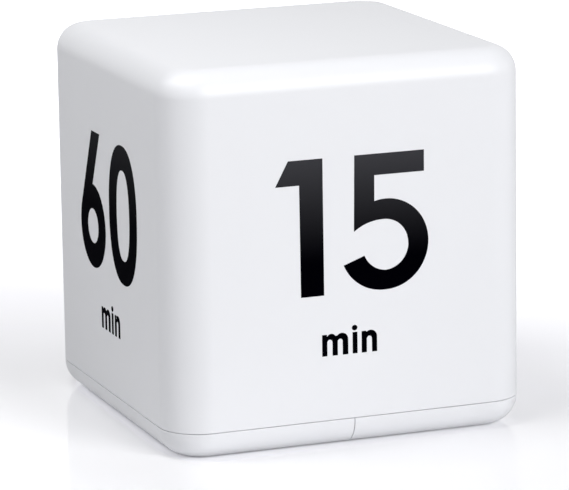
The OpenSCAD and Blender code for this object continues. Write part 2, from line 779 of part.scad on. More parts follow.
// Plate of a contact with its soldering tab, standing at the front of the bay
module front_plate(x) {
    box(x, contact_t / 2 - bay_half, cell_z - contact_w / 2, contact_w, contact_t, contact_w);
    box(x, contact_t / 2 - bay_half, cell_z, tab_w, contact_t, bay_top + tab_h - cell_z);
}

// Plate behind the spring of the near cell
module minus_contact() {
    color("#c6c8ca") front_plate(near_x);
}

// Spring of the near cell
module minus_spring() {
    color("#c6c8ca") translate([near_x, contact_t - bay_half, cell_z])
        tube(spring_route(), spring_wire, 6, [1, 0, 0]);
}

// Plate and pressed button for the nub of the far cell
module plus_contact() {
    color("#c6c8ca") {
        front_plate(far_x);
        translate([far_x, -bay_half, cell_z]) rotate([-90, 0, 0])
            cylinder(d = nub_d + 1, h = contact_t + button_h);
    }
}

// Plate that joins both cells at the back of the bay
module bridge_contact() {
    color("#c6c8ca") {
        box(bay_x, bay_half - contact_t / 2, cell_z - contact_w / 2, contact_w + cell_pitch, contact_t,
            contact_w);
        translate([near_x, bay_half, cell_z]) rotate([90, 0, 0])
            cylinder(d = nub_d + 1, h = contact_t + button_h);
    }
}

// Spring of the far cell
module bridge_spring() {
    color("#c6c8ca") translate([far_x, bay_half - contact_t, cell_z]) rotate(180)
        tube(spring_route(), spring_wire, 6, [1, 0, 0]);
}

// Start of a lead on its tab
function tab_point(x) = [x, contact_t - bay_half, bay_top + tab_h - 0.9];

// Lead from the plus contact to the board
module plus_lead() {
    color("#b3261e") tube(lead_route(tab_point(far_x), [lead_x, lead_y + lead_step, board_top],
        0.9 * lead_rise), lead_d, 8, [0, 0, 1]);
}

// Lead from the minus contact to the board
module minus_lead() {
    color("#1d1e20") tube(lead_route(tab_point(near_x), [lead_x, lead_y, board_top], 0.55 * lead_rise),
        lead_d, 8, [0, 0, 1]);
}

echo(str("battery spring, least gap between its curls: ", least_gap(spring_route(), spring_wire), " mm"));

case_shell();
base_cover();
battery_door();
display_window();
display_front_glass();
display_rear_glass();
display_film();
display_strip();
circuit_board();
board_screws();
sealed_chip();
timing_crystal();
capacitors();
resistors();
drive_coil();
drive_transistor();
switch_case();
switch_base();
switch_pins();
switch_slider();
switch_knob();
buzzer_case();
buzzer_disc();
buzzer_ceramic();
buzzer_pins();
tilt_cans();
tilt_plugs();
tilt_wires();
tilt_ball(0);  // tilt_ball_left
tilt_ball(1);  // tilt_ball_right
tilt_ball(2);  // tilt_ball_front
tilt_ball(3);  // tilt_ball_back
near_cell();
far_cell();
minus_contact();
minus_spring();
plus_contact();
bridge_contact();
bridge_spring();
plus_lead();
minus_lead();
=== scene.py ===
# %% [markdown]
# # A cube timer, dressed for the camera
# The object is a small white cube that runs for the time printed on the side that is turned up, and is
# off on its base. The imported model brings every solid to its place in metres. This script keeps that
# frame and adds the looks: a finer housing, the print, the cells and wires, a finish for each piece, and
# a plain studio. Sizes of the object are written in millimetres, and mm turns them into the metres of the
# frame.

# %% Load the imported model
import math

import bmesh
import bpy
from mathutils import Matrix, Quaternion, Vector


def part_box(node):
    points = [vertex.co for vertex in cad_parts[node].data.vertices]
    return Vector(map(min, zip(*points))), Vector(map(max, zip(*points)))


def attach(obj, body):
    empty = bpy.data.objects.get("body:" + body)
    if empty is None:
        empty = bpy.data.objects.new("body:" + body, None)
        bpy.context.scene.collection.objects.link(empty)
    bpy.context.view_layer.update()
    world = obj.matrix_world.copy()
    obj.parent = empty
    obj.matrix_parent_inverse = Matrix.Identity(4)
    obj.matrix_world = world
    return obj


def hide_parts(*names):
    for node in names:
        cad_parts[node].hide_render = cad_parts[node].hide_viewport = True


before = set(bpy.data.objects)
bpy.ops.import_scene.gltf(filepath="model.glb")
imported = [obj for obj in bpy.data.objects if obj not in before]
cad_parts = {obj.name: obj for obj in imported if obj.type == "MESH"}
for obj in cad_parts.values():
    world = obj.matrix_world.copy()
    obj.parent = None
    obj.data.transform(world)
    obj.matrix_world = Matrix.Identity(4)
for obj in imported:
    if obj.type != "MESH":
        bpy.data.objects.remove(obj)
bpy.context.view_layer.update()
mm = 0.001

# %% [markdown]
# ## Camera
# The cube was photographed with a long lens from a little above its middle, so its upright edges stay
# nearly parallel. A camera could be set by eye. Here its place, its aim and a slight roll were fitted to
# the cube's outline and to the seam above the base, because a long lens hides an error of a degree until
# the print is compared.

# %% Place the camera
camera = bpy.data.objects.new("camera", bpy.data.cameras.new("camera"))
bpy.context.scene.collection.objects.link(camera)
camera.data.sensor_fit = "HORIZONTAL"
camera.data.sensor_width = 36
camera.data.lens = 241.5
camera.data.clip_end = 20
camera_place = Vector((-228.705, -602.354, 169.802)) * mm
camera_aim = Vector((-0.278, -0.817, 28.083)) * mm
camera_roll = Quaternion((0, 0, 1), math.radians(-0.853))
camera_turn = (camera_aim - camera_place).to_track_quat("-Z", "Y") @ camera_roll
camera.matrix_world = Matrix.LocRotScale(camera_place, camera_turn, None)
bpy.context.scene.camera = camera
print("camera at", round((camera_place - camera_aim).length, 3), "m from the cube")

# %% [markdown]
# ## Colours and nodes
# Finishes are chosen as sRGB hex values, as on a colour card, but shaders work in linear light, so one
# function turns the one into the other. A second function adds a node, sets its properties, and sets or
# links its sockets; a node given as an input is linked by its first output. Each finish below is then a
# short list of nodes that reads from top to bottom. A Mix node has sockets for numbers, vectors and
# colours under the same names, so its sockets for colours are known by their places in its lists.

# %% Colour and node helpers
housing_white = "#eff0f4"
mix_share, mix_a, mix_b, mixed = 0, 6, 7, 2


def linear(code):
    """Linear colour of an sRGB hex value."""
    parts = [int(code[k:k + 2], 16) / 255 for k in (1, 3, 5)]
    return [p / 12.92 if p <= 0.04045 else ((p + 0.055) / 1.055) ** 2.4 for p in parts] + [1.0]


def add(tree, kind, inputs=None, **setup):
    """Adds a node: setup sets its properties, inputs sets or links its sockets."""
    node = tree.nodes.new("ShaderNode" + kind)
    for name, value in setup.items():
        setattr(node, name, value)
    for name, value in (inputs or {}).items():
        if isinstance(value, bpy.types.Node):
            value = value.outputs[0]
        if isinstance(value, bpy.types.NodeSocket):
            tree.links.new(value, node.inputs[name])
        else:
            node.inputs[name].default_value = value
    return node


def new_finish(name):
    """An empty finish, its node tree, and the piece's own coordinates in metres."""
    finish = bpy.data.materials.new(name)
    finish.use_nodes = True
    finish.node_tree.nodes.clear()
    return finish, finish.node_tree, add(finish.node_tree, "TexCoord").outputs["Object"]


print("white of the housing in linear light:", [round(c, 3) for c in linear(housing_white)])

# %% [markdown]
# ## Moulded plastics
# The shell, base and door are white ABS out of a spark-eroded mould: a satin skin with a very fine grain
# and, over a few centimetres, slight changes of tone where the plastic flowed. One noise at the grain's
# size gives relief and gloss, a second at 40 mm gives the tone. The real grain is about 0.05 mm, too fine
# to show, so it is drawn at 0.25 mm. The black ABS of the knob and the buzzer is the same process in
# another colour.

# %% Moulded plastic finishes
def moulded(name, code, flow_code, roughness, grain, relief, ior, flow_size=40, gloss_change=0.05):
    """Moulded plastic; grain, relief and flow_size in millimetres."""
    finish, tree, where = new_finish(name)
    flow = add(tree, "TexNoise", {"Vector": where, "Scale": 1 / (flow_size * mm), "Detail": 2.0})
    tone = add(tree, "Mix", {
        mix_share: flow, mix_a: linear(code), mix_b: linear(flow_code)}, data_type="RGBA")
    spark = add(tree, "TexNoise", {"Vector": where, "Scale": 1 / (grain * mm), "Detail": 3.0})
    gloss = add(tree, "MapRange", {
        "Value": spark, "To Min": roughness - gloss_change, "To Max": roughness + gloss_change})
    skin = add(tree, "Bump", {"Height": spark, "Strength": 0.5, "Distance": relief * mm})
    shader = add(tree, "BsdfPrincipled", {
        "Base Color": tone.outputs[mixed], "IOR": ior, "Roughness": gloss, "Normal": skin})
    add(tree, "OutputMaterial", {"Surface": shader})
    return finish


white_abs = moulded(
    "satin_white_abs", housing_white, "#edeef2", roughness=0.42, grain=0.25, relief=0.004, ior=1.53)
black_abs = moulded(
    "satin_black_abs", "#1d1e20", "#232427", roughness=0.40, grain=0.25, relief=0.006, ior=1.53)
chip_resin = moulded(
    "cast_black_epoxy", "#141516", "#1b1c1e", roughness=0.22, grain=0.9, relief=0.010, ior=1.56)
red_pvc = moulded(
    "red_pvc_sheath", "#b2231c", "#a61f19", roughness=0.38, grain=0.4, relief=0.006, ior=1.54)
black_pvc = moulded(
    "black_pvc_sheath", "#191a1c", "#212225", roughness=0.38, grain=0.4, relief=0.006, ior=1.54)
print("plastics:", white_abs.name, black_abs.name, chip_resin.name, red_pvc.name, black_pvc.name)

# %% [markdown]
# ## Print
# The times are pad-printed in black ink, a matt film far thinner than a sheet of paper. In the photo the
# tops of the numerals catch the light and read dark grey, deepening to full black about half way down,
# more so on the front than on the side. A lamp could be aimed to do that, but it would also mark the
# white faces, so that light is painted into the ink as a painted sheen: it goes from grey to black with
# height, lighter on the front. Its real gloss is kept low, because a pale floor mirrored in it would lift
# the black. The small marks on the underside are a plain grey ink.

# %% Ink with a painted sheen
def ink_with_painted_sheen(name, painted_sheen_code, black_below, full_sheen_above=49.0, fade=1.5, dot_size=0.3):
    """Matt ink with a painted sheen: black below one height, fading to a painted grey highlight at
    another; sizes in millimetres.
    """
    finish, tree, where = new_finish(name)
    height = add(tree, "SeparateXYZ", {"Vector": where})
    # The painted sheen: grey at the top of the print, black lower down.
    rise = add(tree, "MapRange", {
        "Value": height.outputs["Z"], "From Min": black_below * mm, "From Max": full_sheen_above * mm})
    curve = add(tree, "Math", {0: rise, 1: fade}, operation="POWER")
    tone = add(tree, "Mix", {
        mix_share: curve, mix_a: linear("#000003"), mix_b: linear(painted_sheen_code)}, data_type="RGBA")
    dots = add(tree, "TexNoise", {"Vector": where, "Scale": 1 / (dot_size * mm), "Detail": 2.0})
    matt = add(tree, "MapRange", {"Value": dots, "To Min": 0.55, "To Max": 0.75})
    shader = add(tree, "BsdfPrincipled", {
        "Base Color": tone.outputs[mixed], "Specular IOR Level": 0.005, "Roughness": matt})
    add(tree, "OutputMaterial", {"Surface": shader})
    return finish


# Both black inks carry a painted sheen at the tops of the numerals; the front one is painted lighter, as
# if lit more.
front_ink_painted_sheen = ink_with_painted_sheen("black_print_ink_painted_sheen_front", "#3b3b3f", black_below=31.5)
side_ink_painted_sheen = ink_with_painted_sheen("black_print_ink_painted_sheen_side", "#242427", black_below=36.0)
label_ink = moulded(
    "grey_pad_print_ink", "#5c5e62", "#54565a", roughness=0.55, grain=0.3, relief=0.002, ior=1.45)
print("inks:", front_ink_painted_sheen.name, side_ink_painted_sheen.name, label_ink.name)

# %% [markdown]
# ## Metals
# Small parts inside are tinned, nickel-plated or brass. Plating on rolled sheet is never a perfect
# mirror: the rolling leaves fine streaks and the bath leaves slow changes in gloss. Stretching the
# coordinates along one axis before the noise turns its grains into streaks. The metal keeps the shader's
# default IOR, and its colour does the work.

# %% Metal finishes
def plated(name, code, dull_code, roughness, streak, stretch=0.15, gloss_change=0.08, relief=0.004):
    """Plated or rolled metal; streak, the spacing of the rolling marks, and relief in millimetres."""
    finish, tree, where = new_finish(name)
    drawn = add(tree, "Mapping", {"Vector": where, "Scale": (1.0, stretch, 1.0)})
    marks = add(tree, "TexNoise", {"Vector": drawn, "Scale": 1 / (streak * mm), "Detail": 4.0})
    tone = add(tree, "Mix", {
        mix_share: marks, mix_a: linear(code), mix_b: linear(dull_code)}, data_type="RGBA")
    gloss = add(tree, "MapRange", {
        "Value": marks, "To Min": roughness - gloss_change, "To Max": roughness + gloss_change})
    skin = add(tree, "Bump", {"Height": marks, "Strength": 0.3, "Distance": relief * mm})
    shader = add(tree, "BsdfPrincipled", {
        "Base Color": tone.outputs[mixed], "Metallic": 1.0, "Roughness": gloss, "Normal": skin})
    add(tree, "OutputMaterial", {"Surface": shader})
    return finish


nickel = plated("nickel_plated_steel", "#c9c8c2", "#b5b4ae", roughness=0.26, streak=0.4)
zinc = plated("zinc_plated_steel", "#bcc1c6", "#a3a8ae", roughness=0.32, streak=0.3)
tin = plated("tinned_wire", "#d0d0cd", "#b9b9b5", roughness=0.30, streak=0.2)
brass = plated("rolled_brass", "#d0a54e", "#bb9040", roughness=0.28, streak=0.5)
ball_steel = plated("polished_ball_steel", "#cfd2d5", "#c2c5c8", roughness=0.14, streak=0.3)
solder = plated("solder", "#c4c6c8", "#a9abad", roughness=0.24, streak=0.6)
print("metals:", nickel.name, zinc.name, tin.name, brass.name, ball_steel.name, solder.name)

# %% [markdown]
# ## Window and display
# Under the cube a clear acrylic window covers a small liquid crystal display: two sheets of glass, a
# grey-green reflecting film behind them, and a rubber strip that carries its tracks up to the board.
# Acrylic and glass are the same shader with another IOR; light scratches change the window's gloss. Light
# that refracts through four sheets would reach the film late and noisy, so for shadows the sheets simply
# let it pass. The strip is layered rubber at about 0.1 mm a layer, which wouldn't show, so the layers are
# drawn 0.5 mm thick.

# %% Clear sheets
def clear(name, code, ior, roughness, scratch=0.5, turn=0.5, stretch=0.05, gloss_change=0.08):
    """A clear sheet with faint scratches at a spacing in millimetres; light passes through it."""
    finish, tree, where = new_finish(name)
    drawn = add(tree, "Mapping", {
        "Vector": where, "Rotation": (0.0, 0.0, turn), "Scale": (1.0, stretch, 1.0)})
    wipes = add(tree, "TexNoise", {"Vector": drawn, "Scale": 1 / (scratch * mm), "Detail": 2.0})
    gloss = add(tree, "MapRange", {
        "Value": wipes, "From Min": 0.4, "From Max": 0.8,
        "To Min": roughness, "To Max": roughness + gloss_change})
    shader = add(tree, "BsdfPrincipled", {
        "Base Color": linear(code), "Transmission Weight": 1.0, "IOR": ior, "Roughness": gloss})
    ray = add(tree, "LightPath")
    passing = add(tree, "BsdfTransparent", {"Color": linear(code)})
    sheet = add(tree, "MixShader", {0: ray.outputs["Is Shadow Ray"], 1: shader, 2: passing})
    add(tree, "OutputMaterial", {"Surface": sheet})
    return finish


acrylic = clear("clear_acrylic", "#fafbfb", ior=1.49, roughness=0.03)
lcd_glass = clear("display_glass", "#f3f6f2", ior=1.52, roughness=0.01)
print("clear sheets:", acrylic.name, lcd_glass.name)

# %% Film, segments and strip
wave_length = 0.314  # metres from band to band of a wave texture at a scale of 1


def layered(name, code, other_code, layer, direction, roughness, relief=0.02):
    """Bands of two colours across one direction; layer and relief in millimetres."""
    finish, tree, where = new_finish(name)
    bands = add(tree, "TexWave", {
        "Vector": where, "Scale": wave_length / (2 * layer * mm), "Distortion": 0.3},
        wave_type="BANDS", bands_direction=direction, wave_profile="SIN")
    tone = add(tree, "Mix", {
        mix_share: bands.outputs["Fac"], mix_a: linear(code), mix_b: linear(other_code)},
        data_type="RGBA")
    skin = add(tree, "Bump", {"Height": bands.outputs["Fac"], "Strength": 0.4, "Distance": relief * mm})
    shader = add(tree, "BsdfPrincipled", {
        "Base Color": tone.outputs[mixed], "Roughness": roughness, "Normal": skin})
    add(tree, "OutputMaterial", {"Surface": shader})
    return finish


lcd_film = moulded(
    "display_reflector", "#aab2a2", "#a1aa9a", roughness=0.35, grain=0.15, relief=0.003, ior=1.5)
segment_ink = moulded(
    "display_segments_at_rest", "#7a8373", "#747d6e", roughness=0.4, grain=0.15, relief=0.002, ior=1.5)
strip_rubber = layered(
    "layered_contact_rubber", "#d79aa4", "#4a3a3c", layer=0.5, direction="Y", roughness=0.6)
print("display:", lcd_film.name, segment_ink.name, strip_rubber.name)

# %% [markdown]
# ## Board and its parts
# The board is glass laminate under a green solder mask, with copper tracks that show as paler lines;
# bricks of a few millimetres with thin joints give lines that turn at right angles, as tracks do. The
# small chip parts have a ceramic body and tinned ends, so their finish looks at the distance from their
# middle. The coil is enamelled wire, laid turn by turn, and the switch and buzzer bring laminate and
# ceramic.

# %% Solder mask
def tracked_mask(name, haze_size=0.6):
    """Green solder mask over copper tracks; haze_size in millimetres."""
    finish, tree, where = new_finish(name)
    tracks = add(tree, "TexBrick", {
        "Vector": where, "Scale": 1.0, "Brick Width": 5.3 * mm, "Row Height": 1.7 * mm,
        "Mortar Size": 0.28 * mm, "Mortar Smooth": 0.1, "Color1": linear("#1f5a2f"),
        "Color2": linear("#235f33"), "Mortar": linear("#3f8a4c")}, offset=0.37)
    haze = add(tree, "TexNoise", {"Vector": where, "Scale": 1 / (haze_size * mm), "Detail": 2.0})
    gloss = add(tree, "MapRange", {"Value": haze, "To Min": 0.22, "To Max": 0.4})
    skin = add(tree, "Bump", {"Height": tracks.outputs["Fac"], "Strength": 0.5, "Distance": 0.03 * mm})
    shader = add(tree, "BsdfPrincipled", {
        "Base Color": tracks, "IOR": 1.55, "Roughness": gloss, "Normal": skin})
    add(tree, "OutputMaterial", {"Surface": shader})
    return finish


green_mask = tracked_mask("green_solder_mask")
print("board:", green_mask.name)

# %% Parts on the board
def tinned_ends(name, code, node, body_half=0.29, spot_size=0.2):
    """Chip parts, tinned beyond a share of their length from the middle; spot_size in millimetres."""
    low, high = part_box(node)
    finish, tree, where = new_finish(name)
    across = add(tree, "SeparateXYZ", {"Vector": where})
    off = add(tree, "Math", {0: across.outputs["X"], 1: (low.x + high.x) / 2}, operation="SUBTRACT")
    far = add(tree, "Math", {0: off}, operation="ABSOLUTE")
    end = add(tree, "Math", {0: far, 1: body_half * (high.x - low.x)}, operation="GREATER_THAN")
    spots = add(tree, "TexNoise", {"Vector": where, "Scale": 1 / (spot_size * mm)})
    tone = add(tree, "Mix", {
        mix_share: end, mix_a: linear(code), mix_b: linear("#c9c9c6")}, data_type="RGBA")
    gloss = add(tree, "MapRange", {"Value": spots, "To Min": 0.28, "To Max": 0.48})
    shader = add(tree, "BsdfPrincipled", {
        "Base Color": tone.outputs[mixed], "Metallic": end, "Roughness": gloss})
    add(tree, "OutputMaterial", {"Surface": shader})
    return finish


capacitor_chip = tinned_ends("capacitor_ceramic", "#a98458", "capacitors")
resistor_chip = tinned_ends("resistor_glaze", "#17191b", "resistors")
coil_wire = layered(
    "enamelled_copper_winding", "#9a4f25", "#5e2c14", layer=0.3, direction="Z", roughness=0.3)
laminate = moulded(
    "phenolic_laminate", "#6b4729", "#5f3f25", roughness=0.5, grain=0.4, relief=0.01, ior=1.55)
ceramic = moulded("fired_ceramic", "#e3dfd3", "#dad5c8", roughness=0.5, grain=0.2, relief=0.004, ior=1.6)
print("parts:", capacitor_chip.name, resistor_chip.name, coil_wire.name, laminate.name, ceramic.name)

# %% [markdown]
# ## Finishes on the solids that stay
# Most solids inside keep their own shape, so they only get a better finish in their material slot.

# %% Dress the solids
dressed = {
    acrylic: ["display_window"],
    strip_rubber: ["display_strip"],
    green_mask: ["circuit_board"],
    zinc: ["board_screws"],
    chip_resin: ["sealed_chip", "drive_transistor"],
    capacitor_chip: ["capacitors"],
    resistor_chip: ["resistors"],
    coil_wire: ["drive_coil"],
    nickel: ["timing_crystal", "switch_case", "tilt_cans",
             "minus_contact", "plus_contact", "bridge_contact"],
    laminate: ["switch_base"],
    tin: ["switch_pins", "buzzer_pins", "tilt_wires"],
    brass: ["buzzer_disc"],
    black_abs: ["switch_slider", "switch_knob", "buzzer_case", "tilt_plugs"],
    ceramic: ["buzzer_ceramic"],
    ball_steel: ["tilt_ball_left", "tilt_ball_right", "tilt_ball_front", "tilt_ball_back"],
}
for finish, nodes in dressed.items():
    for node in nodes:
        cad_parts[node].material_slots[0].material = finish
print("solids dressed:", sum(len(nodes) for nodes in dressed.values()))

# %% [markdown]
# ## Pieces
# A piece is a bmesh that becomes an object, takes a finish, and rides on a body of the model. Rounded
# pieces are shaded smooth; normals are then weighted by face area, so that a large flat face stays flat
# right up to its rounded edge.

# %% Piece helpers
def piece(name, bm, body, finish, slot, *replaced):
    """Turns a bmesh into a piece that rides on a body, and frees the bmesh."""
    mesh = bpy.data.meshes.new(name)
    bm.to_mesh(mesh)
    bm.free()
    thing = bpy.data.objects.new(name, mesh)
    bpy.context.scene.collection.objects.link(thing)
    mesh.materials.append(finish)
    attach(thing, body)
    if replaced:
        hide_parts(*replaced)
    print(name, "has", len(mesh.polygons), "faces")
    return thing


def smooth(thing, angle=32):
    """Shades a piece smooth up to an angle between faces in degrees, with flat faces kept flat."""
    thing.data.shade_smooth()
    thing.data.set_sharp_from_angle(angle=math.radians(angle))
    weighted = thing.modifiers.new("weighted_normals", "WEIGHTED_NORMAL")
    weighted.keep_sharp = True
    weighted.weight = 100


def middle(node):
    """Middle of a solid's box."""
    low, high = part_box(node)
    return (low + high) / 2


print("middle of the board:", [round(c / mm, 2) for c in middle("circuit_board")], "mm")

# %% [markdown]
# ## Shell
# The shell is the top and four sides in one moulding. It could be a copy of the solid, but its rounded
# edges are what the light plays on, so it is made again with finer steps: a cube, its upright edges
# rounded, then the edge round the top; the bottom is opened and the wall gets its thickness inwards. Half
# of the rim is then pushed up into a rebate for the lip of the base. The outer half reaches down a
# little, because the photo's seam is a finer line than the gap in the solids, and gets a tiny round that
# catches a line of light above the seam.

# %% Blocks and rounded edges
touch = 0.01 * mm  # places closer than this count as one


def block(low, high):
    """A box between two corners."""
    bm = bmesh.new()
    bmesh.ops.create_cube(bm, size=1.0)
    bmesh.ops.scale(bm, vec=high - low, verts=bm.verts)
    bmesh.ops.translate(bm, vec=(low + high) / 2, verts=bm.verts)
    return bm


def round_edges(bm, edges, radius, steps):
    """Rounds edges to a quarter circle."""
    bmesh.ops.bevel(bm, geom=edges, offset=radius, offset_type="OFFSET", segments=steps, profile=0.5,
                    affect="EDGES", material=-1)


def heights(part):
    """Heights of the corners of an edge or a face."""
    return [v.co.z for v in part.verts]


shell_low, shell_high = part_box("case_shell")
print("shell from", round(shell_low.z / mm, 2), "to", round(shell_high.z / mm, 2), "mm above the table")

# %% Shell
upright_radius = 7.2 * mm
top_radius = 4.5 * mm
wall = 2 * mm

bm = block(shell_low, shell_high)
uprights = [e for e in bm.edges if max(heights(e)) - min(heights(e)) > touch]
round_edges(bm, uprights, upright_radius, steps=20)
crown = [e for e in bm.edges if min(heights(e)) > shell_high.z - touch]
round_edges(bm, crown, top_radius, steps=14)
bottom = [f for f in bm.faces if max(heights(f)) < shell_low.z + touch]
bmesh.ops.delete(bm, geom=bottom, context="FACES")
bmesh.ops.recalc_face_normals(bm, faces=bm.faces)
bmesh.ops.solidify(bm, geom=bm.faces, thickness=wall)
print("wall of the shell:", len(bm.faces), "faces")

# %% Rebate and rim of the shell
rebate_height = 7.65 * mm  # above the table
rim_drop = 0.16 * mm
rim_round = 0.12 * mm
slack = 0.1 * mm  # keeps a test clear of the faces that it tells apart


def depths(part):
    """How far the corners of an edge or a face lie inside the cube's rounded outline, seen from above."""
    inside = []
    for v in part.verts:
        x = abs(v.co.x) - (shell_high.x - upright_radius)
        y = abs(v.co.y) - (shell_high.y - upright_radius)
        inside.append(upright_radius - (math.hypot(x, y) if min(x, y) > 0 else max(x, y)))
    return inside


rim_z = shell_low.z + touch
rebate_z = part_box("base_cover")[0].z + rebate_height
solid = bm.verts[:] + bm.edges[:] + bm.faces[:]
bmesh.ops.bisect_plane(bm, geom=solid, plane_co=(0, 0, rebate_z), plane_no=(0, 0, 1))
rim = {f for f in bm.faces if max(heights(f)) < rim_z}
across_rim = [e for e in bm.edges if len(e.link_faces) == 2 and rim.issuperset(e.link_faces)]
bmesh.ops.subdivide_edges(bm, edges=across_rim, cuts=1)
inner = [f for f in bm.faces if max(heights(f)) < rim_z and min(depths(f)) > wall / 2 - slack]
raised = bmesh.ops.extrude_face_region(bm, geom=inner)["geom"]
raised = [part for part in raised if isinstance(part, bmesh.types.BMVert)]
bmesh.ops.translate(bm, vec=(0, 0, rebate_z - shell_low.z), verts=raised)
lining = [f for f in bm.faces if min(depths(f)) > wall - slack and abs(f.normal.z) < 0.5
          and max(heights(f)) < rebate_z + touch]
bmesh.ops.delete(bm, geom=inner + lining, context="FACES")
bmesh.ops.remove_doubles(bm, verts=bm.verts, dist=touch / 2)
bmesh.ops.translate(bm, vec=(0, 0, -rim_drop), verts=[v for v in bm.verts if v.co.z < rim_z])
outer = [e for e in bm.edges if max(heights(e)) < rim_z and max(depths(e)) < touch]
round_edges(bm, outer, rim_round, steps=3)
bmesh.ops.recalc_face_normals(bm, faces=bm.faces)
print("open edges of the shell:", sum(len(e.link_faces) != 2 for e in bm.edges))
smooth(piece("shell", bm, "case", white_abs, "white_shell", "case_shell"))

# %% [markdown]
# ## Base and door
# The base with its tray, deck and battery bay, and the door beside it, have many small features, and the
# solids have them all. So these two are merged copies of the solids: the loose triangles are joined, flat
# faces become one face each, the edges along the seam are eased by a hair, as a mould leaves them, and
# the faces at the split stand a little closer, because the photo's line is fine. They are shaded smooth
# where they curve.

# %% Base and door
gap = 0.25 * mm  # at the seam and at the split
seam_ease = 0.07 * mm
closing = 0.45  # share of its half of the gap that each face at the split moves


def merged_copy(name, node, body, slot, split_x):
    """A copy of a solid with triangles joined, seam edges eased and the face at the split moved out."""
    bm = bmesh.new()
    bm.from_mesh(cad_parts[node].data)
    bmesh.ops.remove_doubles(bm, verts=bm.verts, dist=0.0005 * mm)
    bmesh.ops.dissolve_limit(bm, angle_limit=math.radians(0.3), verts=bm.verts, edges=bm.edges)
    top = shell_low.z - gap
    seam = [e for e in bm.edges if max(depths(e)) < 2 * touch
            and max(abs(z - top) for z in heights(e)) < touch]
    round_edges(bm, seam, seam_ease, steps=2)
    split = [v for v in bm.verts if abs(v.co.x - split_x) < touch / 2]
    bmesh.ops.translate(bm, vec=(-closing * split_x, 0, 0), verts=split)
    print(name, "eased along", len(seam), "edges,", len(split), "corners at the split")
    smooth(piece(name, bm, body, white_abs, slot, node))


merged_copy("base", "base_cover", "case", "white_base", -gap / 2)
merged_copy("door", "battery_door", "door", "white_door", gap / 2)

# %% [markdown]
# ## Numerals
# The print is plain sans-serif numerals, with the unit below. A font would be quickest, but none that
# ships with Blender has these strokes, so each outline is drawn from straight lines and arcs at sizes
# measured on the photo, in millimetres from the middle of the side and from the table. The outline is a
# flat curve, filled and given the thickness of a film, and laid on its side of the cube. As the pad
# presses the ink on, it spreads past its outline by less than a tenth of a millimetre.

# %% Outlines of the numerals
def arc(x, z, rx, rz, start, stop, steps=20, power=2.0):
    """Points of an arc between two angles in degrees; a power above 2 makes it squarer."""
    points = []
    for k in range(steps + 1):
        angle = math.radians(start + (stop - start) * k / steps)
        c, s = (math.copysign(abs(w) ** (2 / power), w) for w in (math.cos(angle), math.sin(angle)))
        points.append((x + rx * c, z + rz * s))
    return points


one = [[(-11.30, 49.25), (-5.33, 49.25), (-5.30, 26.30), (-9.30, 26.30), (-9.37, 45.15), (-13.53, 45.15)]]
three = [arc(0.0, 42.9, 6.1, 6.4, 152, -42, 40) + arc(0.0, 33.6, 7.2, 7.3, 44, -154, 44)
         + arc(0.0, 33.6, 3.5, 3.9, 206, 425, 44) + [(-1.9, 37.2), (-1.9, 40.3)]
         + arc(0.0, 43.0, 2.7, 3.0, -70, 152, 40)]
five = [[(0.38, 49.27), (12.69, 49.27), (12.69, 45.77), (3.81, 45.77)]
        + arc(5.85, 34.05, 7.55, 7.55, 106, 0) + arc(5.75, 34.05, 7.65, 7.75, -4, -90)
        + arc(5.35, 33.93, 7.63, 7.63, 268, 203) + arc(6.0, 33.9, 4.36, 4.36, 202, 268)
        + arc(5.6, 33.9, 4.30, 4.36, 272, 356) + arc(5.5, 33.9, 4.36, 4.36, 0, 90)
        + arc(5.27, 29.72, 8.54, 8.54, 92.5, 126.5, 6)]
six = [[(-3.45, 49.30), (-7.80, 39.97)] + arc(-7.8, 32.7, 6.6, 7.25, 89, -180, 60)
       + arc(-7.8, 32.7, 6.6, 7.25, 180, 147, 8) + [(-7.62, 49.30)],
       arc(-7.85, 32.68, 2.9, 3.1, 0, 354, 59)]
zero = [arc(8.33, 37.5, 7.19, 11.9, 0, 356, 89, 2.3), arc(8.4, 37.45, 3.36, 7.85, 0, 355, 71, 2.4)]
print("points of the numerals:", [sum(map(len, outlines)) for outlines in (one, three, five, six, zero)])

# %% Outlines of the unit
def minutes(line=15.95, top=19.52, shoulder=18.52, arch=18.20):
    """The unit in outlines: two letters of stems and round shoulders, and a dotted one between."""
    m = [(-5.68, line), (-5.68, top), (-4.93, top), (-4.88, 19.14)]
    m += arc(-4.06, 18.70, 0.86, 0.90, 148, 60, 8) + [(-3.33, 19.17)]
    m += arc(-2.20, shoulder, 1.06, 1.08, 140, 0, 14) + [(-1.14, line), (-2.02, line)]
    m += arc(-2.51, arch, 0.49, 0.52, 0, 180, 12) + [(-3.0, line), (-3.84, line)]
    m += arc(-4.35, arch, 0.51, 0.52, 0, 180, 12) + [(-4.87, line)]
    i = [(-0.25, line), (-0.25, 19.50), (0.52, 19.50), (0.52, line)]
    dot = arc(0.08, 20.30, 0.45, 0.42, 0, 345, 23)
    n = [(1.37, line), (1.37, top), (2.10, top), (2.16, 19.10)]
    n += arc(2.93, shoulder, 1.09, 1.08, 140, 0, 14) + [(4.03, line), (3.22, line)]
    n += arc(2.70, arch, 0.50, 0.52, 0, 180, 12) + [(2.18, line)]
    return [m, i, dot, n]


print("outlines of the unit:", len(minutes()))

# %% Films of ink
film = 0.03 * mm
film_out = film / 4  # from the face to the middle of the film


def curve_mesh(curve, place):
    """Mesh of a curve or text, laid in its place."""
    holder = bpy.data.objects.new("outline", curve)
    bpy.context.scene.collection.objects.link(holder)
    mesh = bpy.data.meshes.new_from_object(holder.evaluated_get(bpy.context.evaluated_depsgraph_get()))
    bpy.data.objects.remove(holder)
    mesh.transform(place)
    bm = bmesh.new()
    bm.from_mesh(mesh)
    bmesh.ops.remove_doubles(bm, verts=bm.verts, dist=0.002 * mm)
    bmesh.ops.recalc_face_normals(bm, faces=bm.faces)
    return bm


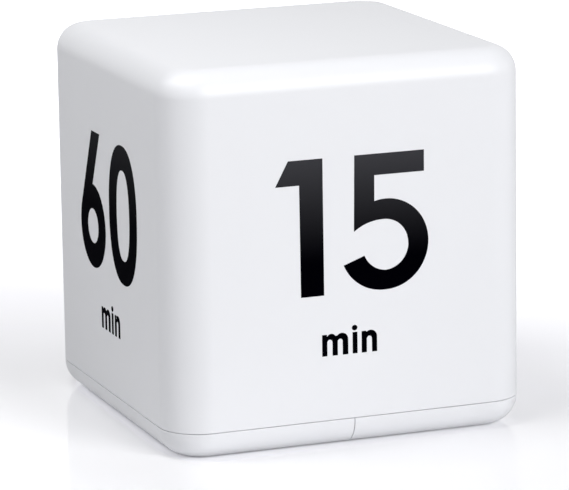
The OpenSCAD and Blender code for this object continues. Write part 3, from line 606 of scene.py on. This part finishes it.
def printed(name, outlines, body, finish, slot, place, spread=0.0):
    """A film of ink in the shape of its outlines, which the ink passes by its spread in millimetres."""
    curve = bpy.data.curves.new(name, "CURVE")
    curve.dimensions = "2D"
    curve.fill_mode = "BOTH"
    curve.extrude = film / 2
    curve.offset = spread * mm
    for line in outlines:
        spline = curve.splines.new("POLY")
        spline.points.add(len(line) - 1)
        for point, (x, z) in zip(spline.points, line):
            point.co = (x * mm, z * mm, 0, 1)
        spline.use_cyclic_u = True
    piece(name, curve_mesh(curve, place), body, finish, slot)


print("film of ink:", round(film / mm, 3), "mm thick")

# %% Lay the print on the sides
front_spread = 0.045
side_spread = 0.075


def shifted(outlines, x, z=0.0):
    """The same outlines moved along the side."""
    return [[(px + x, pz + z) for px, pz in line] for line in outlines]


def on_face(right, up, origin):
    """Matrix that lays a flat drawing on a face, its right and up along two directions."""
    right, up = Vector(right), Vector(up)
    return Matrix.Translation(origin) @ Matrix((right, up, right.cross(up))).transposed().to_4x4()


reach = shell_high.x + film_out
thirty = shifted(three, -7.6) + shifted(zero, -0.2)
sides = {
    "front": ((1, 0, 0), (0, -reach, 0), one + five, (0.0, 0.0), front_ink_painted_sheen, front_spread),
    "left": ((0, -1, 0), (-reach, 0, 0), six + zero, (1.38, -0.3), side_ink_painted_sheen, side_spread),
    "right": ((0, 1, 0), (reach, 0, 0), thirty, (0.9, -0.3), side_ink_painted_sheen, side_spread),
    "back": ((-1, 0, 0), (0, reach, 0), shifted(five, -5.85), (0.83, 0.0), side_ink_painted_sheen, side_spread),
}
for side, (right, origin, time, unit_shift, ink, spread) in sides.items():
    place = on_face(right, (0, 0, 1), origin)
    unit = shifted(minutes(), *unit_shift)
    for kind, outlines in (("time", time), ("unit", unit)):
        printed("print_" + side + "_" + kind, outlines, "case", ink, "black_plastic", place, spread)

# %% [markdown]
# ## Marks on the underside
# The switch needs its two words, and the door an arrow that shows which way it slides. Words come from
# the font that ships with Blender, filled as flat curves and made a mesh before they are laid in place.
# The underside is read with the display upright, so its right is towards the front of the cube and its up
# towards the left side.

# %% Words and arrow
capital_share = 0.69  # height of a capital in the font, as a share of its size
word_height = 1.7  # of a capital
word_off = 5.4  # from the middle of the switch to a word
arrow_x = 9.5


def underside(x, y, z=-film_out):
    """Place of a drawing on the underside; x and y from the middle of the cube in millimetres."""
    return on_face((0, -1, 0), (-1, 0, 0), (x * mm, y * mm, z))


switch_x, switch_y = middle("switch_case").xy / mm
for word, way in (("off", -1), ("on", 1)):
    text = bpy.data.curves.new("print_switch_" + word, "FONT")
    text.body = word.upper()
    text.size = word_height * mm / capital_share
    text.align_x, text.align_y = "CENTER", "CENTER"
    text.extrude = film / 2
    place = underside(switch_x + way * word_off, switch_y)
    piece("print_switch_" + word, curve_mesh(text, place), "case", label_ink, "black_plastic")
arrow = [(-0.5, 2.8), (0.5, 2.8), (0.5, -0.2), (1.7, -0.2), (0.0, -2.8), (-1.7, -0.2), (-0.5, -0.2)]
printed("print_door_arrow", [arrow], "door", label_ink, "black_plastic", underside(arrow_x, 0.0))

# %% [markdown]
# ## Display
# The two sheets of glass and the film touch in the solids. A ray that meets two faces in one place can
# miss the second, so each sheet is made again with its faces 0.02 mm in and its cut edges eased. At rest
# the display is blank, but its segments can just be seen as a darker tint between the glasses. Each digit
# is seven bars with pointed ends, so one function draws a bar and the digits repeat it.

# %% Sheets of the display
face_in = Vector((0, 0, 0.02 * mm))
cut_ease = 0.06 * mm
sheets = {"front_glass": (lcd_glass, "display_glass"), "rear_glass": (lcd_glass, "display_glass"),
          "film": (lcd_film, "display_film")}
for sheet, (finish, slot) in sheets.items():
    low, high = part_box("display_" + sheet)
    bm = block(low + face_in, high - face_in)
    round_edges(bm, bm.edges[:], cut_ease, steps=2)
    piece("sheet_" + sheet, bm, "case", finish, slot, "display_" + sheet)

# %% Segments of the display
bar_length = 2.9
bar_thick = 0.62
bar_pitch = 1.5  # from the middle of a square of bars to each bar
digit_places = (-8.0, -3.5, 3.5, 8.0)
dot_radius = 0.4
dot_rise = 1.3


def bar(x, z, upright):
    """A bar with pointed ends, centred on a point."""
    a, b = bar_length / 2, bar_thick / 2
    points = [(-a, 0), (b - a, b), (a - b, b), (a, 0), (a - b, -b), (b - a, -b)]
    return [(x + (q if upright else p), z + (p if upright else q)) for p, q in points]


def digit(x):
    """Seven bars of one digit: two squares of bars, one on the other."""
    flat = [bar(x, z, False) for z in (-2 * bar_pitch, 0.0, 2 * bar_pitch)]
    ends = (-bar_pitch, bar_pitch)
    return flat + [bar(x + side, z, True) for side in ends for z in ends]


segments = sum((digit(x) for x in digit_places), [])
segments += [arc(0.0, z, dot_radius, dot_radius, 0, 330, 11) for z in (-dot_rise, dot_rise)]
glass = middle("display_rear_glass") / mm
printed("display_segments", segments, "case", segment_ink, "display_film",
        underside(glass.x, glass.y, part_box("display_rear_glass")[0].z))

# %% [markdown]
# ## Cells
# Two small cells lie head to tail. A cell is a drawn steel can with a crimped foot and a pressed nub,
# inside a printed plastic sleeve that is shrunk over both shoulders. Both are turned shapes, so each is a
# profile of a few points that is spun once round its axis; the sleeve's profile is a closed loop, which
# gives it its own thin wall.

# %% Sleeve print
def sleeve_print(name, foot, head, ring_from=0.72, crown_from=0.76, press_size=0.35):
    """Deep blue, a pale ring and a grey crown along Y, from foot to head; press_size in millimetres."""
    finish, tree, where = new_finish(name)
    along = add(tree, "SeparateXYZ", {"Vector": where})
    rise = add(tree, "MapRange", {"Value": along.outputs["Y"], "From Min": foot, "From Max": head})
    ring = add(tree, "Math", {0: rise, 1: ring_from}, operation="GREATER_THAN")
    crown = add(tree, "Math", {0: rise, 1: crown_from}, operation="GREATER_THAN")
    press = add(tree, "TexNoise", {"Vector": where, "Scale": 1 / (press_size * mm), "Detail": 2.0})
    blue = add(tree, "Mix", {
        mix_share: press, mix_a: linear("#1f3d63"), mix_b: linear("#24456e")}, data_type="RGBA")
    band = add(tree, "Mix", {
        mix_share: ring, mix_a: blue.outputs[mixed], mix_b: linear("#dfe3e6")}, data_type="RGBA")
    tone = add(tree, "Mix", {
        mix_share: crown, mix_a: band.outputs[mixed], mix_b: linear("#8d949b")}, data_type="RGBA")
    gloss = add(tree, "MapRange", {"Value": press, "To Min": 0.22, "To Max": 0.34})
    shader = add(tree, "BsdfPrincipled", {
        "Base Color": tone.outputs[mixed], "Coat Weight": 0.3, "Coat Roughness": 0.1, "Roughness": gloss})
    add(tree, "OutputMaterial", {"Surface": shader})
    return finish


near_low, near_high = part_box("near_cell")
far_low, far_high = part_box("far_cell")
cell_ends = {"near_cell": (near_low.y, near_high.y), "far_cell": (far_high.y, far_low.y)}  # foot and head
sleeves = {cell: sleeve_print("printed_" + cell + "_sleeve", *ends) for cell, ends in cell_ends.items()}
print("sleeves:", [finish.name for finish in sleeves.values()])

# %% Cells
wire_angle = 40  # up to which turned pieces and wires are shaded smooth
can_profile = [(0, 0.12), (3.7, 0.12), (3.9, 0.0), (4.25, 0.0), (4.4, 0.15), (4.75, 0.3), (5.0, 0.7),
               (5.1, 1.0), (5.1, 42.7), (5.0, 43.2), (4.6, 43.5), (2.7, 43.5), (2.6, 43.6), (1.95, 43.6),
               (1.85, 43.75), (1.85, 44.3), (1.7, 44.46), (1.4, 44.5), (0, 44.5)]
sleeve_profile = [(4.62, 0.34), (4.74, 0.36), (5.05, 0.55), (5.2, 0.85), (5.25, 1.2), (5.25, 42.5),
                  (5.2, 42.95), (4.95, 43.4), (4.55, 43.6), (4.2, 43.6), (4.2, 43.51), (4.55, 43.51),
                  (4.9, 43.32), (5.09, 42.9), (5.11, 42.5), (5.11, 1.2), (5.06, 0.9), (4.9, 0.6)]


def turned(profile, steps, closed=False):
    """A profile of (radius, distance along +Y) in millimetres, spun once round the Y axis."""
    bm = bmesh.new()
    line = [bm.verts.new((r * mm, y * mm, 0)) for r, y in profile]
    edges = [bm.edges.new(pair) for pair in zip(line, line[1:] + (line[:1] if closed else []))]
    bmesh.ops.spin(bm, geom=line + edges, cent=(0, 0, 0), axis=(0, 1, 0), angle=math.tau, steps=steps,
                   use_merge=True)
    bmesh.ops.remove_doubles(bm, verts=bm.verts, dist=0.001 * mm)
    bmesh.ops.recalc_face_normals(bm, faces=bm.faces)
    return bm


for cell, (foot, head) in cell_ends.items():
    axis = middle(cell)
    turn = 0.0 if foot < head else math.pi
    place = Matrix.Translation((axis.x, foot, axis.z)) @ Matrix.Rotation(turn, 4, "Z")
    sleeve, can = turned(sleeve_profile, steps=64, closed=True), turned(can_profile, steps=64)
    for bm in (sleeve, can):
        bmesh.ops.transform(bm, matrix=place, verts=bm.verts)
    smooth(piece(cell + "_sleeve", sleeve, "case", sleeves[cell], "cell_sleeve", cell), wire_angle)
    smooth(piece(cell + "_can", can, "case", nickel, "contact_plate"), wire_angle)

# %% [markdown]
# ## Springs and leads
# A battery spring is one wire: a closed turn that lies on its plate, open turns that narrow, and a closed
# turn against the cell. A lead is stranded wire in a plastic sheath, soldered to a tab at one end and to
# the board at the other. All of them are wires along a path, so a curve with a round section makes them,
# and becomes a mesh in its place. The routes are those of the solids.

# %% Wires along a path
def wire(name, points, diameter, body, finish, slot, *replaced):
    """A round wire through points in millimetres, closed at its ends."""
    curve = bpy.data.curves.new(name, "CURVE")
    curve.dimensions = "3D"
    curve.bevel_depth = diameter * mm / 2
    curve.bevel_resolution = 4
    curve.use_fill_caps = True
    spline = curve.splines.new("POLY")
    spline.points.add(len(points) - 1)
    for point, place in zip(spline.points, points):
        point.co = (*(Vector(place) * mm), 1)
    smooth(piece(name, curve_mesh(curve, Matrix()), body, finish, slot, *replaced), wire_angle)


def spring_points(height, wide, narrow, thick, open_turns=2.2, pitch=1.65, turn_steps=28):
    """Points of a battery spring along +Y; a closed turn takes up pitch times the wire's thickness."""
    closed = pitch * thick
    knots = [(0.0, thick / 2, wide), (1.0, closed, wide), (1.0 + open_turns, height - closed, narrow),
             (2.0 + open_turns, height - thick / 2, narrow)]
    points = []
    for (t0, y0, r0), (t1, y1, r1) in zip(knots, knots[1:]):
        steps = round(turn_steps * (t1 - t0))
        for k in range(steps):
            u = k / steps
            angle, radius = math.tau * (t0 + (t1 - t0) * u), r0 + (r1 - r0) * u
            points.append((radius * math.cos(angle), y0 + (y1 - y0) * u, radius * math.sin(angle)))
    return points


spring_wire = 0.6
for contact, cell, sign in (("minus", "near_cell", 1), ("bridge", "far_cell", -1)):
    low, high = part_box(contact + "_spring")
    foot = (low.y if sign > 0 else high.y) / mm
    axis = middle(cell) / mm
    coil = spring_points((high.y - low.y) / mm, wide=3.6, narrow=2.2, thick=spring_wire)
    path = [(axis.x + sign * x, foot + sign * y, axis.z + z) for x, y, z in coil]
    wire("spring_" + contact, path, spring_wire, "case", nickel, "contact_plate", contact + "_spring")

# %% Leads
sheath_width = 1.2
strand_width = 0.62
stripped = 3  # points at each end of a lead without sheath
straight = 0.6  # length of strand that runs straight out of its solder
tab_drop = 0.9  # from the top of a contact to the middle of its solder
pad_x = -5.9
pad_pull = 11.0  # how strongly the bend is drawn up above its pad
tab_lift = 1 / 6  # share of the pull out of a tab that goes upwards


def bend(a, u, b, v, steps=40):
    """Points of a smooth bend from a, drawn out along u, to b, drawn out along v."""
    points = []
    for k in range(steps + 1):
        t, r = k / steps, 1 - k / steps
        points.append(r ** 3 * a + 3 * r * r * t * (a + u) + 3 * r * t * t * (b + v) + t ** 3 * b)
    return points


board_under, board_top = (corner.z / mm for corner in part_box("circuit_board"))
lead_ends = {}
leads = {"red": ("plus", red_pvc, -15.3, 9.9), "black": ("minus", black_pvc, -18.3, 6.05)}
for colour, (contact, finish, pad_y, tab_pull) in leads.items():
    plate, plate_top = middle(contact + "_contact") / mm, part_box(contact + "_contact")[1].z / mm
    tab = Vector((plate.x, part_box(contact + "_lead")[0].y / mm, plate_top - tab_drop))
    pad = Vector((pad_x, pad_y, board_top))
    path = bend(tab + Vector((0, straight, 0)), Vector((0, tab_pull, tab_pull * tab_lift)),
                pad + Vector((0, 0, straight)), Vector((0, 0, pad_pull)))
    wire("lead_" + colour, path[stripped:-stripped], sheath_width, "case", finish, "lead_" + colour,
         contact + "_lead")
    wire("lead_" + colour + "_strands", [tab] + path + [pad], strand_width, "case", tin, "pin_metal")
    lead_ends[colour] = (tab, pad)

# %% [markdown]
# ## Solder
# Every pin and wire that goes through the board stands in a small cone of solder with hollow sides. One
# profile is spun for each joint, and all joints are one piece. The wires of the tilt switches are
# soldered under the board, the other pins above it, and the two leads also have a drop of solder on their
# tabs.

# %% Solder joints
switch_pitch = 2.5
buzzer_pitch = 6.5
tilt_wires = [(-15.6, 8.85), (-15.6, 11.05), (-16.4, 4.45), (-16.4, 6.65),
              (-25.1, 6.65), (-22.9, 6.65), (-7.7, -7.65), (-5.5, -7.65)]


def joint(bm, foot, turn, reach, height, pin):
    """Adds a hollow-sided cone of solder round a pin, from its foot along a turned +Y; in millimetres."""
    side = [(reach, 0.04), (0.72 * reach, 0.2 * height), (0.55 * reach, 0.5 * height)]
    tip = [(pin + 0.06, 0.9 * height), (pin, height), (0, height)]
    cone = turned([(0, 0), (reach, 0)] + side + tip, steps=20)
    bmesh.ops.transform(cone, matrix=Matrix.Translation(Vector(foot) * mm) @ turn, verts=cone.verts)
    mesh = bpy.data.meshes.new("joint")
    cone.to_mesh(mesh)
    cone.free()
    bm.from_mesh(mesh)
    bpy.data.meshes.remove(mesh)


above, below = (Matrix.Rotation(math.radians(angle), 4, "X") for angle in (90, -90))
switch_row, buzzer_row = middle("switch_pins") / mm, middle("buzzer_pins") / mm
pins = [(switch_row.x + k * switch_pitch, switch_row.y) for k in (-1, 0, 1)]
pins += [(buzzer_row.x + k * buzzer_pitch, buzzer_row.y) for k in (-0.5, 0.5)]
bm = bmesh.new()
for x, y in pins:
    joint(bm, (x, y, board_top), above, reach=0.95, height=0.7, pin=0.36)
for x, y in tilt_wires:
    joint(bm, (x, y, board_under), below, reach=0.85, height=0.65, pin=0.31)
for tab, pad in lead_ends.values():
    joint(bm, pad, above, reach=1.1, height=0.9, pin=0.33)
    joint(bm, tab, Matrix(), reach=1.1, height=0.6, pin=0.33)
smooth(piece("solder_joints", bm, "case", solder, "pin_metal"), wire_angle)

# %% [markdown]
# ## Studio
# The photo has a white floor that runs up out of the picture, and soft light. A small softbox close
# overhead, a little to the left, lights the top, stronger towards the front left, and burns out the
# rounded edge over the front. A large one at the front right lights the front, a weak one at the left
# lights the left top edge, and a weak, low one at the right keeps the right edge pale. The bounce of the
# floor lights the left side from below. The surround is white where it is seen or mirrored, so the glossy
# floor shows the cube's own image as a faint grey, but it gives hardly any light. In the photo the floor
# is a little overexposed, more to the right and away from the cube, and under the rounded foot it has
# only a fine dark line. So light is painted on the floor, for the camera alone: a glow away from the
# cube, a painted lift of the cube's shadow to the right, and a ring of painted light that lifts the
# contact shadow at the foot.

# %% Painted light on the floor
# The ring of painted light runs round a core, and is wider at the front and back, where Y is squashed.
core_x, core_y, squash_y = 25 * mm, 20 * mm, 0.48
ring_start, ring_peak, ring_end = 3.7 * mm, 4.7 * mm, 6.7 * mm
rightward = (0.83, 0.56, 0.0)  # to the right and back over the floor


def painted_floor_light(tree, where):
    """Painted light on the floor: a ring that lifts the contact shadow at the cube's foot, a lift of the
    shadow to the right, and glow away from the cube.
    """
    place = add(tree, "SeparateXYZ", {"Vector": where})
    mirrored = add(tree, "VectorMath", {0: where}, operation="ABSOLUTE")
    beyond = add(tree, "VectorMath", {
        0: mirrored, 1: (1.0, squash_y, 0.0), 2: (-core_x, -squash_y * core_y, 0.0)},
        operation="MULTIPLY_ADD")
    beside = add(tree, "VectorMath", {0: beyond, 1: (0.0, 0.0, 0.0)}, operation="MAXIMUM")
    off = add(tree, "VectorMath", {0: beside}, operation="LENGTH")
    rise = add(tree, "MapRange", {
        "Value": off.outputs["Value"], "From Min": ring_start, "From Max": ring_peak},
        interpolation_type="SMOOTHSTEP")
    fall = add(tree, "MapRange", {
        "Value": off.outputs["Value"], "From Min": ring_peak, "From Max": ring_end,
        "To Min": 1.0, "To Max": 0.0}, interpolation_type="SMOOTHSTEP")
    # The ring is painted light that lifts the contact shadow under the rounded foot, more on the left.
    ring = add(tree, "Math", {0: rise, 1: fall}, operation="MULTIPLY")
    strength = add(tree, "MapRange", {
        "Value": place.outputs["X"], "From Min": -30 * mm, "From Max": 30 * mm,
        "To Min": 0.28, "To Max": 0.0})
    foot = add(tree, "Math", {0: ring, 1: strength}, operation="MULTIPLY")
    # A painted lift of the cube's shadow to the right and back.
    across = add(tree, "VectorMath", {0: where, 1: rightward}, operation="DOT_PRODUCT")
    right = add(tree, "MapRange", {
        "Value": across.outputs["Value"], "From Min": -36 * mm, "From Max": 64 * mm,
        "To Min": 0.09, "To Max": 0.30}, interpolation_type="SMOOTHSTEP")
    away = add(tree, "VectorMath", {0: where}, operation="LENGTH")
    far = add(tree, "MapRange", {
        "Value": away.outputs["Value"], "From Max": 400 * mm, "To Max": 1.0},
        interpolation_type="SMOOTHSTEP")
    left = add(tree, "MapRange", {
        "Value": place.outputs["X"], "From Min": -36 * mm, "From Max": -56 * mm, "To Max": 0.08},
        interpolation_type="SMOOTHSTEP")
    glow = foot
    for part in (right, far, left):
        glow = add(tree, "Math", {0: glow, 1: part}, operation="ADD")
    return glow


print("ring of glow", round((core_x + ring_peak) / mm, 1), "mm to each side of the middle")

# %% Floor
def sweep_paint(name, code, painted_light_code, grain_size=2.0):
    """White sweep with a faint grain and painted light, which glows for the camera alone; grain_size in
    millimetres.
    """
    finish, tree, where = new_finish(name)
    grain = add(tree, "TexNoise", {"Vector": where, "Scale": 1 / (grain_size * mm), "Detail": 2.0})
    gloss = add(tree, "MapRange", {"Value": grain, "To Min": 0.08, "To Max": 0.11})
    ray = add(tree, "LightPath")
    # Painted light: the floor glows for camera rays only, lifting its shadows.
    glow = add(tree, "Math", {
        0: painted_floor_light(tree, where), 1: ray.outputs["Is Camera Ray"]}, operation="MULTIPLY")
    shader = add(tree, "BsdfPrincipled", {
        "Base Color": linear(code), "Specular IOR Level": 0.25, "Roughness": gloss,
        "Emission Color": linear(painted_light_code), "Emission Strength": glow})
    add(tree, "OutputMaterial", {"Surface": shader})
    return finish


bm = bmesh.new()
bmesh.ops.create_grid(bm, x_segments=8, y_segments=8, size=4.0)
floor_mesh = bpy.data.meshes.new("studio_floor")
bm.to_mesh(floor_mesh)
bm.free()
floor = bpy.data.objects.new("studio_floor", floor_mesh)
bpy.context.scene.collection.objects.link(floor)
floor_mesh.materials.append(sweep_paint("white_sweep_painted_light", "#f5f5f6", "#f6f6ff"))
print("floor", round(floor.dimensions.x, 1), "m wide")

# %% Lights
lit_point = Vector((0, 0, 30 * mm))


def softbox(name, bearing, rise, distance, width, power):
    """A square light aimed at the cube; bearing in degrees from front to right, rise from the floor."""
    lamp = bpy.data.objects.new(name, bpy.data.lights.new(name, "AREA"))
    bpy.context.scene.collection.objects.link(lamp)
    lamp.data.shape, lamp.data.size, lamp.data.energy = "SQUARE", width, power
    b, r = math.radians(bearing), math.radians(rise)
    toward = Vector((math.sin(b) * math.cos(r), -math.cos(b) * math.cos(r), math.sin(r)))
    place = lit_point + toward * distance
    lamp.matrix_world = Matrix.LocRotScale(place, toward.to_track_quat("Z", "Y"), None)
    print(name, power, "W from", [round(c, 2) for c in toward])


softbox("overhead_softbox", bearing=-70, rise=66, distance=0.29, width=0.16, power=0.395)
softbox("front_softbox", bearing=21, rise=23, distance=1.2, width=0.6, power=9.3)
softbox("left_softbox", bearing=-105, rise=45, distance=0.6, width=0.3, power=0.74)
softbox("right_softbox", bearing=80, rise=12, distance=0.8, width=0.4, power=0.6)

# %% Surround
world = bpy.data.worlds.new("studio_surround")
bpy.context.scene.world = world
world.use_nodes = True
tree = world.node_tree
tree.nodes.clear()
ray = add(tree, "LightPath")
dim = add(tree, "Background", {"Color": linear("#ffffff"), "Strength": 0.02})
white = add(tree, "Background", {"Color": linear("#ffffff"), "Strength": 1.0})
looked_at = add(tree, "Math", {
    0: ray.outputs["Is Camera Ray"], 1: ray.outputs["Is Glossy Ray"]}, operation="MAXIMUM")
seen = add(tree, "MixShader", {0: looked_at, 1: dim, 2: white})
add(tree, "OutputWorld", {"Surface": seen})
bpy.context.scene.view_settings.view_transform = "Standard"
print("surround:", world.name)
